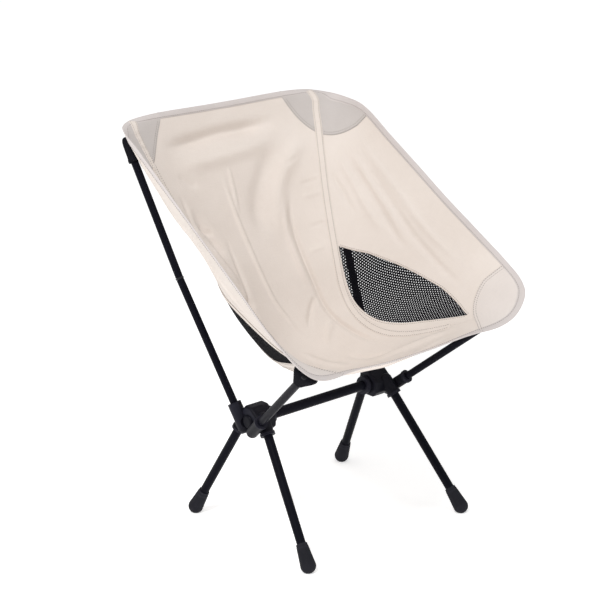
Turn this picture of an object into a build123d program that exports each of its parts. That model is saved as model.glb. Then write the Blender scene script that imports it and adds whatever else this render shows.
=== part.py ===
from build123d import *
import math
import os

os.makedirs("parts", exist_ok=True)

# Frame: +Z up, the sitter faces -Y, and the chair is mirrored about x = 0.
# "left" is the sitter's left, at +X. The origin is on the floor under the middle of the chair's box.
# All sizes are in mm.

# Frame tubes
CROSSBAR_Y = -9.2
CROSSBAR_Z = 197.0
CROSSBAR_RADIUS = 8.5
CROSSBAR_HALF_LENGTH = 140.0
LEG_RADIUS = 7.5
POLE_RADIUS = 6.4
TUBE_WALL = 0.9
FIT = 0.05
END_GAP = 0.3

# Each member's axis: a point beside the crossbar, level with it, and a point near its far end.
# x is from the plane of symmetry, y is from the crossbar's axis and z is from the floor.
FRONT_LEG_TOP = (138.3, -27.4, CROSSBAR_Z)
FRONT_LEG_FOOT = (171.6, -171.8, 12.0)
REAR_LEG_TOP = (133.6, 24.5, CROSSBAR_Z)
REAR_LEG_FOOT = (166.6, 121.7, 12.0)
ARM_BASE = (156.2, -28.5, CROSSBAR_Z)
ARM_FAR = (211.1, -211.8, 353.0)
BACK_BASE = (148.8, 20.9, CROSSBAR_Z)
BACK_JOINT = (181.5, 134.6, 415.4)
BACK_FAR = (202.3, 245.1, 632.2)

# Stations along those axes, from the first point outwards
FRONT_LEG_SEAT, FRONT_LEG_MOUTH = -14.0, 19.0
REAR_LEG_SEAT, REAR_LEG_MOUTH = -2.0, 31.0
ARM_SEAT, ARM_MOUTH = -6.0, 26.0
BACK_SEAT, BACK_MOUTH = -2.0, 27.3
ARM_TUBE_END = 241.5
BACK_TUBE_END = 238.0

# Hub. Each sleeve's closed end is at a station on its member's axis and is rounded off.
SLEEVE_WALL = 3.6
SLEEVE_LIP = 1.4
SLEEVE_LIP_LENGTH = 5.0
FRONT_LEG_SLEEVE_END, REAR_LEG_SLEEVE_END = -21.0, -9.0
ARM_SLEEVE_END = -32.0
BACK_SLEEVE_END, BACK_SLEEVE_WALL = -26.0, 5.0
HUB_CORE_X = (111.0, 150.0)
HUB_PROFILE = ((-26, 206), (-5, 222), (10, 222), (18, 213), (18, 186), (10, 177), (-14, 177), (-26, 188))
HUB_EDGE = 4.5
BARREL_RADIUS = 13.5
BARREL_X = (102.0, 149.0)
BARREL_COLLAR = 1.8
BARREL_COLLAR_LENGTH = 7.0
CAP_RADIUS = 11.5
CAP_THICKNESS = 5.0
CAP_PLUG = 8.5
CAP_CLEARANCE = 0.4

# Rubber feet
FOOT_COLLAR_RADIUS = 9.3
FOOT_WAIST_RADIUS = 9.8
FOOT_BALL_RADIUS = 12.8
FOOT_BALL_HEIGHT = 11.0
FOOT_LENGTH = 36.0
FOOT_COLLAR_LENGTH = 4.0

# Joint in each back pole, tips, pockets and shock cords
SPIGOT_LENGTH = 26.0
SPIGOT_COLLAR_RADIUS = 7.1
SPIGOT_COLLAR_LENGTH = 3.0
TIP_RADIUS = 6.9
TIP_LENGTH = 6.0
TIP_PLUG_LENGTH = 14.0
POCKET_GAP = 0.5
POCKET_WALL = 1.6
BACK_POCKET_LENGTH = 42.0
FRONT_POCKET_LENGTH = 28.0
CORD_RADIUS = 1.5

# Sling: stations from the top hem (0) to the front hem (1). Each row is the station, the middle
# line's y and z, the side edge's x, y and z, with y from the crossbar's axis, then the powers by
# which y and z go from the middle to the edge, and how far the side bulges beyond a straight one.
SLING_STATIONS = (
    (0.00, 257, 660, 211, 243, 657, 1.40, 2.05, 0.000),
    (0.07, 243, 618, 232, 203, 650, 2.60, 2.50, 0.020),
    (0.14, 225, 572, 244, 159, 638, 3.00, 2.60, 0.030),
    (0.27, 183, 480, 247, 92, 596, 2.90, 2.55, 0.030),
    (0.42, 126, 379, 250, 22, 551, 2.15, 2.12, 0.005),
    (0.56, 60, 289, 252, -42, 510, 2.00, 2.05, 0.000),
    (0.70, -26, 256, 256, -115, 465, 2.00, 2.05, 0.000),
    (0.84, -114, 281, 260, -181, 423, 1.95, 2.05, 0.000),
    (0.94, -177, 314, 255, -221, 397, 1.70, 2.05, 0.000),
    (1.00, -217, 334, 236, -238, 375, 1.40, 2.05, 0.000),
)
BULGE_SHAPE = 12.2
TOP_RISE, TOP_RISE_SPAN = 16.0, 0.10
FRONT_DROP, FRONT_DROP_AT, FRONT_DROP_WIDTH, FRONT_DROP_SPAN = 15.5, 0.84, 0.24, 0.14
FABRIC = 1.5
MESH = 1.0
BINDING = 3.0
BINDING_SHARE = 0.03
PATCH = 0.9
PATCH_LIFT = 2.8
SEAM_GAP = 0.008

# The side seam's place across the sling, at stations down it
SEAM = ((0.0, 0.91), (0.14, 0.69), (0.33, 0.577), (0.49, 0.46), (0.57, 0.433), (0.645, 0.44),
        (0.73, 0.48), (0.82, 0.535), (0.90, 0.64), (0.94, 0.75), (0.97, 0.875), (1.0, 0.955))
# The mesh window's inner and outer edges across the sling, at stations down it
WINDOW_INNER = ((0.43, 0.515), (0.49, 0.49), (0.57, 0.467), (0.655, 0.498), (0.76, 0.595), (0.885, 0.68))
WINDOW_OUTER = ((0.43, 0.535), (0.495, 0.643), (0.575, 0.72), (0.675, 0.76), (0.775, 0.75), (0.885, 0.70))
WINDOW_SPAN = (0.445, 0.875)
WINDOW_GAP = 0.4


def between(rows, place, column):
    """A smooth value at a place along rows of (place, value, ...), by a cubic through them."""
    i = 0
    while i < len(rows) - 2 and place > rows[i + 1][0]:
        i += 1

    def slope(j):
        low, high = rows[max(j - 1, 0)], rows[min(j + 1, len(rows) - 1)]
        return (high[column] - low[column]) / (high[0] - low[0])

    step = rows[i + 1][0] - rows[i][0]
    t = (place - rows[i][0]) / step
    return (
        (2 * t**3 - 3 * t**2 + 1) * rows[i][column]
        + (t**3 - 2 * t**2 + t) * step * slope(i)
        + (3 * t**2 - 2 * t**3) * rows[i + 1][column]
        + (t**3 - t**2) * step * slope(i + 1)
    )


def hem_shift(across, down):
    """How far the hems stand off the plain sling: up beside the top corners, down round the front ones."""
    rise = TOP_RISE * across**2 * (1 - across**2) * max(0.0, 1 - down / TOP_RISE_SPAN) ** 2
    drop = FRONT_DROP * math.exp(-(((abs(across) - FRONT_DROP_AT) / FRONT_DROP_WIDTH) ** 2))
    return rise - drop * max(0.0, 1 - (1 - down) / FRONT_DROP_SPAN) ** 2


def sling_point(across, down):
    """The sling's middle surface: across is -1 to 1 from edge to edge, down is 0 to 1."""
    mid_y, mid_z, edge_x, edge_y, edge_z, pull, lift, bulge = (
        between(SLING_STATIONS, down, k) for k in range(1, 9)
    )
    size = abs(across)
    x = across * edge_x * (1 + bulge * BULGE_SHAPE * size**4 * (1 - size))
    y = CROSSBAR_Y + mid_y + (edge_y - mid_y) * size**pull
    z = mid_z + (edge_z - mid_z) * size**lift + hem_shift(across, down)
    return Vector(x, y, z)


def sling_normal(across, down):
    """The sling's unit normal, towards the sitter."""
    step = 0.004
    lower, upper = max(down - step, 0.0), min(down + step, 1.0)
    along = sling_point(across, upper) - sling_point(across, lower)
    over = sling_point(across + step, down) - sling_point(across - step, down)
    return over.cross(along).normalized() * -1


def cloth(inner, outer, span, thickness, lift=0.0, rows=15, columns=7):
    """A piece of the sling as one thin solid. inner and outer give its edges across the sling."""

    def skin(offset):
        points = []
        for i in range(rows):
            down = span[0] + (span[1] - span[0]) * i / (rows - 1)
            low, high = inner(down), outer(down)
            places = [low + (high - low) * j / (columns - 1) for j in range(columns)]
            points.append([sling_point(p, down) + sling_normal(p, down) * offset for p in places])
        return Face.make_surface_from_array_of_points(points)

    near, far = skin(lift + thickness / 2), skin(lift - thickness / 2)
    sides = []
    for edge in near.edges():
        twin = min(far.edges(), key=lambda e: (e.position_at(0.5) - edge.position_at(0.5)).length)
        sides.append(Face.make_surface_from_curves(edge, twin))
    return Solid(Shell([near, far, *sides])).fix()


def write(name, shape):
    shape.label = name
    export_step(shape, f"parts/{name}.step")


def write_pair(name, shape):
    write("left_" + name, shape)
    write("right_" + name, shape.mirror(Plane.YZ))


class Axis3:
    """A straight member's axis, measured in mm from its first point."""

    def __init__(self, first, second):
        shift = Vector(0, CROSSBAR_Y, 0)
        self.first = Vector(*first) + shift
        self.direction = (Vector(*second) + shift - self.first).normalized()
        self.span = (Vector(*second) + shift - self.first).length

    def at(self, station):
        return self.first + self.direction * station

    def plane(self, station):
        return Plane(origin=self.at(station), z_dir=self.direction)

    def rod(self, low, high, radius):
        return Solid.make_cylinder(radius, high - low, self.plane(low))

    def tube(self, low, high, radius, wall):
        return self.rod(low, high, radius) - self.rod(low - 1, high + 1, radius - wall)

    def turned(self, outline):
        """A solid turned about this axis from an outline of (radius, station) points."""
        flat = Plane(origin=self.first, x_dir=self.plane(0).x_dir, z_dir=self.plane(0).x_dir.cross(self.direction))
        wire = Polyline(*[flat.origin + flat.x_dir * r + self.direction * s for r, s in outline], close=True)
        return Solid.revolve(Face(Wire(wire.edges())), 360, Axis(self.first, self.direction))


front_leg = Axis3(FRONT_LEG_TOP, FRONT_LEG_FOOT)
rear_leg = Axis3(REAR_LEG_TOP, REAR_LEG_FOOT)
arm = Axis3(ARM_BASE, ARM_FAR)
lower_back = Axis3(BACK_BASE, BACK_JOINT)
upper_back = Axis3(BACK_JOINT, BACK_FAR)

# ---------------------------------------------------------------- hubs and crossbar
# Each socket: its axis, the stations of its seat and mouth, the tube's radius, and the sleeve's
# closed end, wall and lip
SOCKETS = (
    (front_leg, FRONT_LEG_SEAT, FRONT_LEG_MOUTH, LEG_RADIUS, FRONT_LEG_SLEEVE_END, SLEEVE_WALL, SLEEVE_LIP),
    (rear_leg, REAR_LEG_SEAT, REAR_LEG_MOUTH, LEG_RADIUS, REAR_LEG_SLEEVE_END, SLEEVE_WALL, SLEEVE_LIP),
    (arm, ARM_SEAT, ARM_MOUTH, POLE_RADIUS, ARM_SLEEVE_END, SLEEVE_WALL, SLEEVE_LIP),
    (lower_back, BACK_SEAT, BACK_MOUTH, POLE_RADIUS, BACK_SLEEVE_END, BACK_SLEEVE_WALL, 0),
)


def bar(low, high, radius):
    """A cylinder on the crossbar's axis."""
    return Solid.make_cylinder(radius, high - low, Plane((low, CROSSBAR_Y, CROSSBAR_Z), z_dir=(1, 0, 0)))


def hub():
    outline = [Vector(HUB_CORE_X[0], CROSSBAR_Y + y, z) for y, z in HUB_PROFILE]
    face = Face(Wire(Polyline(*outline, close=True).edges()))
    core = Solid.extrude(face, Vector(HUB_CORE_X[1] - HUB_CORE_X[0], 0, 0))
    core = core.fillet(HUB_EDGE, core.edges())
    body = core + bar(*BARREL_X, BARREL_RADIUS)
    body += bar(BARREL_X[0], BARREL_X[0] + BARREL_COLLAR_LENGTH, BARREL_RADIUS + BARREL_COLLAR)
    for axis, seat, mouth, radius, end, wall, lip in SOCKETS:
        sleeve = axis.rod(end, mouth, radius + wall)
        closed = min(sleeve.edges().filter_by(GeomType.CIRCLE), key=lambda e: (e.center() - axis.at(end)).length)
        body += sleeve.fillet((radius + wall) * 0.9, [closed])
        if lip:
            body += axis.rod(mouth - SLEEVE_LIP_LENGTH, mouth, radius + wall + lip)
    body -= bar(BARREL_X[1], BARREL_X[1] + 30, CAP_RADIUS + CAP_CLEARANCE)
    for axis, seat, mouth, radius, *_ in SOCKETS:
        body -= axis.rod(seat - END_GAP, mouth + 1, radius + FIT)
    return body - bar(BARREL_X[0] - 1, BARREL_X[1] + 1, CROSSBAR_RADIUS + FIT)


def hub_cap():
    cap = bar(BARREL_X[1] + FIT, BARREL_X[1] + CAP_THICKNESS, CAP_RADIUS)
    rim = cap.edges().filter_by(GeomType.CIRCLE).sort_by(Axis.X)[-1]
    cap = cap.fillet(CAP_THICKNESS * 0.8, [rim])
    return cap + bar(BARREL_X[1] - CAP_PLUG, BARREL_X[1] + 1, CROSSBAR_RADIUS)


write_pair("hub", hub())
write_pair("hub_cap", hub_cap())
crossbar = bar(-CROSSBAR_HALF_LENGTH, CROSSBAR_HALF_LENGTH, CROSSBAR_RADIUS)
write("crossbar", crossbar - bar(-200, 200, CROSSBAR_RADIUS - TUBE_WALL))


# ---------------------------------------------------------------- legs and rubber feet
def foot(axis, ball):
    """A rubber foot: a collar round the tube that flares to a ball with a flat underneath."""
    top = ball - FOOT_LENGTH
    flare = [(FOOT_WAIST_RADIUS, top + FOOT_COLLAR_LENGTH), (FOOT_BALL_RADIUS - 0.4, ball - 3.0)]
    round_end = [
        (FOOT_BALL_RADIUS * math.cos(math.radians(a)), ball + FOOT_BALL_RADIUS * math.sin(math.radians(a)))
        for a in range(0, 91, 10)
    ]
    tube_end = ball - 3.0 + END_GAP
    outline = [(LEG_RADIUS + FIT, tube_end), (LEG_RADIUS + FIT, top), (FOOT_COLLAR_RADIUS, top)]
    outline += [(FOOT_COLLAR_RADIUS, top + FOOT_COLLAR_LENGTH), *flare, *round_end[:-1]]
    outline += [(0, ball + FOOT_BALL_RADIUS), (0, tube_end)]
    ground = Solid.make_box(80, 80, 40, Plane(axis.at(ball) - Vector(40, 40, FOOT_BALL_HEIGHT + 40)))
    return axis.turned(outline) - ground


for name, axis, seat in (("front_leg", front_leg, FRONT_LEG_SEAT), ("rear_leg", rear_leg, REAR_LEG_SEAT)):
    ball = (CROSSBAR_Z - FOOT_BALL_HEIGHT) / -axis.direction.Z
    print(name, "foot flat at", axis.at(ball), "slides along", axis.direction)
    write_pair(name, axis.tube(seat, ball - 3.0, LEG_RADIUS, TUBE_WALL))
    write_pair(name + "_foot", foot(axis, ball))
    write_pair(name + "_cord", axis.rod(seat - END_GAP, ball - 12.0, CORD_RADIUS))


# ---------------------------------------------------------------- arms and back poles
def tip(axis, end):
    """A plastic tip: a plug in the tube and a rounded head."""
    head = axis.rod(end + FIT, end + TIP_LENGTH, TIP_RADIUS)
    far = max(head.edges().filter_by(GeomType.CIRCLE), key=lambda e: (e.center() - axis.first).length)
    head = head.fillet(TIP_LENGTH * 0.7, [far])
    return head + axis.rod(end - TIP_PLUG_LENGTH, end + 1, POLE_RADIUS - TUBE_WALL - FIT)


def pocket(axis, end, length):
    """A fabric sleeve, closed over the pole's tip."""
    inside = TIP_RADIUS + POCKET_GAP
    top = end + TIP_LENGTH + POCKET_GAP
    outer = axis.rod(top - length, top + POCKET_WALL, inside + POCKET_WALL)
    far = max(outer.edges().filter_by(GeomType.CIRCLE), key=lambda e: (e.center() - axis.first).length)
    return outer.fillet(POCKET_WALL * 1.6, [far]) - axis.rod(top - length - 1, top, inside)


write_pair("front_arm", arm.tube(ARM_SEAT, ARM_TUBE_END, POLE_RADIUS, TUBE_WALL))
write_pair("front_arm_tip", tip(arm, ARM_TUBE_END))
write_pair("front_arm_cord", arm.rod(ARM_SEAT - END_GAP, ARM_TUBE_END - TIP_PLUG_LENGTH, CORD_RADIUS))
write_pair("front_pocket", pocket(arm, ARM_TUBE_END, FRONT_POCKET_LENGTH))

joint_gap = SPIGOT_COLLAR_LENGTH / 2 + 0.4
spigot_radius = POLE_RADIUS - TUBE_WALL - FIT
joint_at = lower_back.span
write_pair("lower_back_pole", lower_back.tube(BACK_SEAT, joint_at - joint_gap, POLE_RADIUS, TUBE_WALL))
write_pair("upper_back_pole", upper_back.tube(joint_gap, BACK_TUBE_END, POLE_RADIUS, TUBE_WALL))
half_collar = SPIGOT_COLLAR_LENGTH / 2
knee = Plane(upper_back.first)


def bent_rod(low, high, radius, knee_radius):
    """A rod that follows the lower pole's axis and then the upper one's, with a ball at the knee."""
    below = lower_back.rod(joint_at + low, joint_at, radius)
    return below + Solid.make_sphere(knee_radius, knee) + upper_back.rod(0, high, radius)


spigot = bent_rod(-SPIGOT_LENGTH, SPIGOT_LENGTH, spigot_radius, spigot_radius + 0.2)
spigot += lower_back.rod(joint_at - half_collar, joint_at + half_collar, SPIGOT_COLLAR_RADIUS)
bore_radius = CORD_RADIUS + 1.2
spigot -= bent_rod(-SPIGOT_LENGTH - 1, SPIGOT_LENGTH + 1, bore_radius, bore_radius + 0.4)
write_pair("back_pole_spigot", spigot)
cord = bent_rod(BACK_SEAT - END_GAP - joint_at, BACK_TUBE_END - TIP_PLUG_LENGTH, CORD_RADIUS, CORD_RADIUS + 0.1)
write_pair("back_pole_cord", cord)
write_pair("back_pole_tip", tip(upper_back, BACK_TUBE_END))
write_pair("back_pocket", pocket(upper_back, BACK_TUBE_END, BACK_POCKET_LENGTH))


# ---------------------------------------------------------------- sling
def seam(down):
    return between(SEAM, down, 1)


def bound(share):
    return lambda down: share


whole = (0.0, 1.0)
edge = 1.0 - BINDING_SHARE
write("seat_panel", cloth(lambda d: -seam(d), seam, whole, FABRIC, rows=31, columns=25))

wing = cloth(lambda d: seam(d) + SEAM_GAP, bound(edge - SEAM_GAP), (0.004, 0.996), FABRIC, rows=31, columns=9)
window = cloth(
    lambda d: between(WINDOW_INNER, d, 1), lambda d: between(WINDOW_OUTER, d, 1), WINDOW_SPAN, MESH
)
opening = cloth(
    lambda d: between(WINDOW_INNER, d, 1) - SEAM_GAP,
    lambda d: between(WINDOW_OUTER, d, 1) + SEAM_GAP,
    (WINDOW_SPAN[0] - SEAM_GAP, WINDOW_SPAN[1] + SEAM_GAP),
    FABRIC * 4,
)
write_pair("wing_panel", wing - opening)
write_pair("mesh_window", window)
write_pair("edge_binding", cloth(bound(edge), bound(1.0), whole, BINDING, rows=25, columns=3))

write_pair("top_corner_patch", cloth(bound(0.50), bound(edge - 0.01), (0.015, 0.15), PATCH, PATCH_LIFT, columns=13))
write_pair("front_corner_patch", cloth(bound(0.66), bound(edge - 0.01), (0.87, 0.985), PATCH, PATCH_LIFT, columns=13))
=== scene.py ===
import math

import bmesh
import bpy
import numpy as np
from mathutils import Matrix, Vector

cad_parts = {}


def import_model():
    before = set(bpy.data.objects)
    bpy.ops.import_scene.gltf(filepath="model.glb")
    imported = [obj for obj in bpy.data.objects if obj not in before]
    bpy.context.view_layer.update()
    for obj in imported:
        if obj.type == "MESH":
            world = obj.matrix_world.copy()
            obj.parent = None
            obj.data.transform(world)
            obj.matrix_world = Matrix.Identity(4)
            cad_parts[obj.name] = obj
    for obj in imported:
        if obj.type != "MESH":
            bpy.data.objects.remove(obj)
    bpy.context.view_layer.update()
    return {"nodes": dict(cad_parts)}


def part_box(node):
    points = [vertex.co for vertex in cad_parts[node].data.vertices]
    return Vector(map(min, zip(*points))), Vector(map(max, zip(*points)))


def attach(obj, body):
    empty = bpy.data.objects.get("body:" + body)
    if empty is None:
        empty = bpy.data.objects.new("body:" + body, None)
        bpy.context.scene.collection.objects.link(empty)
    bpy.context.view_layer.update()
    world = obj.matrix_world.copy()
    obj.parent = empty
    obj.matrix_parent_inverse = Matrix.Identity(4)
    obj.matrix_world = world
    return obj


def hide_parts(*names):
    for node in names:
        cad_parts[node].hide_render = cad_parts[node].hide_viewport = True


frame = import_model()
MM = 0.001
SIDES = {"left": 1, "right": -1}  # the sitter's left is at +X

# ------------------------------------------------------------------ the sling's shape
# Stations from the top hem (0) to the front hem (1), in mm. The middle line's y and z and the side
# edge's x, y and z, with y from the crossbar's axis, are the CAD model's. Then come the powers by
# which y and z go from the middle to the edge, and how far the side bulges beyond a straight one.
SLING_STATIONS = (
    (0.00, 257, 660, 211, 243, 657, 1.40, 2.05, 0.000),
    (0.07, 243, 618, 232, 203, 650, 3.20, 2.75, 0.050),
    (0.14, 225, 572, 244, 159, 638, 3.50, 2.90, 0.060),
    (0.27, 183, 480, 247, 92, 596, 3.00, 2.60, 0.035),
    (0.42, 126, 379, 250, 22, 551, 2.15, 2.12, -0.012),
    (0.56, 60, 289, 252, -42, 510, 2.00, 2.05, -0.030),
    (0.70, -26, 256, 256, -115, 465, 2.00, 2.05, -0.035),
    (0.84, -114, 281, 260, -181, 423, 1.95, 2.05, -0.020),
    (0.94, -177, 314, 255, -221, 397, 1.70, 2.05, 0.000),
    (1.00, -217, 334, 236, -238, 375, 1.40, 2.05, 0.000),
)
BULGE_SHAPE = 12.2
TOP_RISE, TOP_RISE_SPAN = 16.0, 0.10
FRONT_DROP, FRONT_DROP_AT, FRONT_DROP_WIDTH, FRONT_DROP_SPAN = 15.5, 0.84, 0.24, 0.14
CORNER_ACROSS, CORNER_DOWN = 0.12, 0.04
CROSSBAR_Y = (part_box("crossbar")[0].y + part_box("crossbar")[1].y) / 2

# Where the side seam and the mesh window's inner and outer edges lie across the sling
SEAM = ((0.0, 0.90), (0.052, 0.819), (0.09, 0.756), (0.151, 0.699), (0.235, 0.645), (0.33, 0.579),
        (0.49, 0.462), (0.57, 0.435), (0.646, 0.442), (0.73, 0.482), (0.82, 0.537), (0.90, 0.641),
        (0.94, 0.75), (0.97, 0.874), (1.0, 0.955))
WINDOW_INNER = ((0.43, 0.527), (0.48, 0.497), (0.53, 0.475), (0.57, 0.469), (0.615, 0.478),
                (0.655, 0.501), (0.70, 0.542), (0.753, 0.591), (0.82, 0.641), (0.88, 0.696))
WINDOW_OUTER = ((0.43, 0.527), (0.46, 0.583), (0.497, 0.649), (0.558, 0.713), (0.62, 0.75),
                (0.67, 0.767), (0.73, 0.774), (0.804, 0.747), (0.88, 0.696))
WINDOW_TOP, WINDOW_BOTTOM = 0.43, 0.88

CLOTH = 0.9 * MM
TAPE = 0.7 * MM
PATCH = 0.5 * MM
BINDING_WIDTH = 10.0 * MM


def between(rows, place):
    """Smooth values at places along rows of (place, value, ...), by a cubic through them."""
    rows = np.array(rows, float)
    knots, values = rows[:, 0], rows[:, 1:]
    slopes = np.empty_like(values)
    slopes[1:-1] = (values[2:] - values[:-2]) / (knots[2:] - knots[:-2])[:, None]
    slopes[0] = (values[1] - values[0]) / (knots[1] - knots[0])
    slopes[-1] = (values[-1] - values[-2]) / (knots[-1] - knots[-2])
    place = np.asarray(place, float)
    i = np.clip(np.searchsorted(knots, place) - 1, 0, len(knots) - 2)
    step = knots[i + 1] - knots[i]
    t = ((place - knots[i]) / step)[..., None]
    step = step[..., None]
    return (
        (2 * t**3 - 3 * t**2 + 1) * values[i]
        + (t**3 - 2 * t**2 + t) * step * slopes[i]
        + (3 * t**2 - 2 * t**3) * values[i + 1]
        + (t**3 - t**2) * step * slopes[i + 1]
    )


def seam(down):
    return between(SEAM, down)[..., 0]


def rounded(across, down):
    """The same places with the sling's four corners turned round instead of pointed."""
    size = np.abs(across)
    a = np.clip((1 - size) / CORNER_ACROSS, -1, 1)
    for b, way in ((down / CORNER_DOWN, 1), ((1 - down) / CORNER_DOWN, -1)):
        b = np.clip(b, -1, 1)
        pull = 0.25 * (1 - a) ** 2 * (1 - b) ** 2
        pull = np.where((a < 1) & (b < 1), pull, 0)
        across = across - np.sign(across) * CORNER_ACROSS * pull
        down = down + way * CORNER_DOWN * pull
    return across, down


def bare_sling(across, down):
    """The sling's middle surface without any fold, in metres."""
    across, down = np.asarray(across, float), np.asarray(down, float)
    columns = np.moveaxis(between(SLING_STATIONS, down), -1, 0)
    mid_y, mid_z, edge_x, edge_y, edge_z, pull, lift, bulge = columns
    size = np.abs(across)
    x = across * edge_x * (1 + bulge * BULGE_SHAPE * size**4 * (1 - size))
    rise = TOP_RISE * across**2 * (1 - across**2) * np.maximum(0, 1 - down / TOP_RISE_SPAN) ** 2
    drop = FRONT_DROP * np.exp(-(((size - FRONT_DROP_AT) / FRONT_DROP_WIDTH) ** 2))
    drop = drop * np.maximum(0, 1 - (1 - down) / FRONT_DROP_SPAN) ** 2
    y = mid_y + (edge_y - mid_y) * size**pull
    z = mid_z + (edge_z - mid_z) * size**lift + rise - drop
    return np.stack([x * MM, CROSSBAR_Y + y * MM, z * MM], -1)


def slopes_of(across, down):
    """How far the surface runs for each unit across and each unit down, as vectors."""
    step = 0.002
    over = (bare_sling(across + step, down) - bare_sling(across - step, down)) / (2 * step)
    along = (bare_sling(across, down + step) - bare_sling(across, down - step)) / (2 * step)
    return over, along


def unit(vectors):
    return vectors / np.maximum(np.linalg.norm(vectors, axis=-1, keepdims=True), 1e-12)


def sling_normal(across, down):
    """The unit normal towards the sitter."""
    over, along = slopes_of(across, down)
    return -unit(np.cross(over, along))


# ------------------------------------------------------------------ folds in the cloth
# Each fold: its line as (across, down) points, its half width and its height in mm, before
# FOLD_DEPTH scales the height. A height above 0 stands towards the sitter.
FOLDS = (
    (((-0.59, 0.10), (-0.32, 0.09), (-0.05, 0.08), (0.21, 0.08), (0.50, 0.077)), 11.0, -6.2),
    (((-0.52, 0.15), (-0.26, 0.14), (0.11, 0.13), (0.45, 0.12)), 13.0, 3.4),
    (((0.64, 0.135), (0.47, 0.18), (0.33, 0.23), (0.25, 0.30), (0.22, 0.36)), 14.0, 3.8),
    (((0.44, 0.13), (0.245, 0.19), (0.11, 0.26), (0.085, 0.34)), 16.0, -3.4),
    (((-0.105, 0.15), (-0.105, 0.21), (-0.09, 0.28), (-0.057, 0.38), (-0.03, 0.46), (0.04, 0.52),
      (0.093, 0.58)), 3.2, 1.9),
    (((-0.04, 0.15), (-0.05, 0.21), (-0.07, 0.27)), 2.6, 1.5),
    (((0.41, 0.243), (0.34, 0.303), (0.31, 0.385), (0.306, 0.456), (0.308, 0.527), (0.35, 0.61),
      (0.385, 0.685), (0.435, 0.75)), 4.0, -2.8),
    (((0.37, 0.243), (0.28, 0.313), (0.262, 0.405), (0.262, 0.485)), 6.0, 2.0),
    (((0.30, 0.487), (0.213, 0.514), (0.136, 0.552)), 4.0, -2.2),
    (((0.315, 0.56), (0.23, 0.586), (0.165, 0.614)), 6.0, 1.8),
    (((0.47, 0.244), (0.55, 0.25), (0.62, 0.256)), 3.0, -1.5),
    (((0.45, 0.275), (0.53, 0.281), (0.60, 0.287)), 3.0, 1.3),
    (((0.42, 0.347), (0.484, 0.354), (0.543, 0.36)), 3.0, -1.4),
    (((0.39, 0.19), (0.46, 0.185), (0.53, 0.18)), 3.0, -1.3),
    (((0.35, 0.40), (0.41, 0.405), (0.47, 0.41)), 3.5, 1.2),
    (((0.668, 0.246), (0.684, 0.309), (0.676, 0.393)), 4.0, -2.0),
    (((0.738, 0.205), (0.751, 0.308), (0.743, 0.413), (0.748, 0.495)), 5.0, 1.8),
    (((0.786, 0.204), (0.792, 0.35), (0.789, 0.514), (0.799, 0.594)), 4.5, -2.1),
    (((0.817, 0.224), (0.819, 0.391), (0.82, 0.553)), 5.0, 1.6),
    (((0.843, 0.244), (0.843, 0.451), (0.842, 0.631), (0.823, 0.812)), 5.0, -2.0),
    (((0.875, 0.182), (0.885, 0.346), (0.891, 0.569), (0.894, 0.748)), 5.0, 1.6),
    (((-0.49, 0.25), (-0.375, 0.32), (-0.325, 0.377)), 12.0, -3.2),
    (((-0.455, 0.32), (-0.365, 0.395), (-0.28, 0.44)), 9.0, 2.6),
    (((-0.41, 0.423), (-0.32, 0.46), (-0.18, 0.472)), 8.0, -2.4),
    (((-0.54, 0.204), (-0.513, 0.326), (-0.537, 0.425)), 5.0, -1.8),
    (((-0.50, 0.165), (-0.42, 0.185), (-0.32, 0.19)), 7.0, -1.2),
    (((-0.44, 0.28), (-0.39, 0.30), (-0.33, 0.30)), 4.5, -1.8),
    (((-0.76, 0.20), (-0.775, 0.36), (-0.79, 0.56)), 5.0, 1.6),
    (((-0.83, 0.22), (-0.84, 0.42), (-0.83, 0.74)), 5.0, -1.6),
    (((-0.248, 0.30), (-0.233, 0.42), (-0.262, 0.54), (-0.327, 0.66)), 4.5, -2.2),
    (((0.593, 0.916), (0.383, 0.824), (0.173, 0.75)), 9.0, 2.2),
    (((-0.556, 0.894), (-0.357, 0.80), (-0.193, 0.769)), 10.0, 2.0),
    (((0.512, 0.943), (0.176, 0.912), (-0.067, 0.858)), 8.0, -2.0),
    (((0.20, 0.66), (0.27, 0.73), (0.38, 0.79)), 5.0, -2.0),
    (((-0.03, 0.60), (0.05, 0.66), (0.16, 0.72)), 6.0, 1.6),
)
FOLD_DEPTH = 1.9
FIELD_ROWS, FIELD_COLUMNS = 321, 257
SWELL = ((0.7, 7.0, 3.0), (0.25, 21.0, 9.0))  # height in mm, waves across and down
PUCKER_MM, PUCKER_REACH, PUCKER_WAVE = 0.35, 11 * MM, 13 * MM


def curve_through(points, count):
    """That many evenly spread points on a smooth line through the given ones."""
    points = np.array(points, float)
    steps = np.linalg.norm(np.diff(points, axis=0), axis=1)
    place = np.concatenate([[0], np.cumsum(steps)])
    rows = np.column_stack([place, points])
    if len(points) < 3:
        share = np.linspace(0, 1, count)[:, None]
        return points[0] + (points[-1] - points[0]) * share
    return between(rows, np.linspace(0, place[-1], count))


def nearest(points, line):
    """Each point's distance to a line of points, and how far along the line that is, in metres."""
    start, run = line[:-1], np.diff(line, axis=0)
    length = np.linalg.norm(run, axis=1)
    travelled = np.concatenate([[0], np.cumsum(length)[:-1]])
    best = np.full(len(points), 1e9)
    where = np.zeros(len(points))
    for s, r, l, t0 in zip(start, run, length, travelled):
        t = np.clip((points - s) @ r / max(l * l, 1e-12), 0, 1)
        d = np.linalg.norm(points - s - t[:, None] * r, axis=1)
        closer = d < best
        best = np.where(closer, d, best)
        where = np.where(closer, t0 + t * l, where)
    return best, where


def on_bare_sling(line, count=24):
    places = curve_through(line, count)
    return bare_sling(places[:, 0], places[:, 1])


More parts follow.
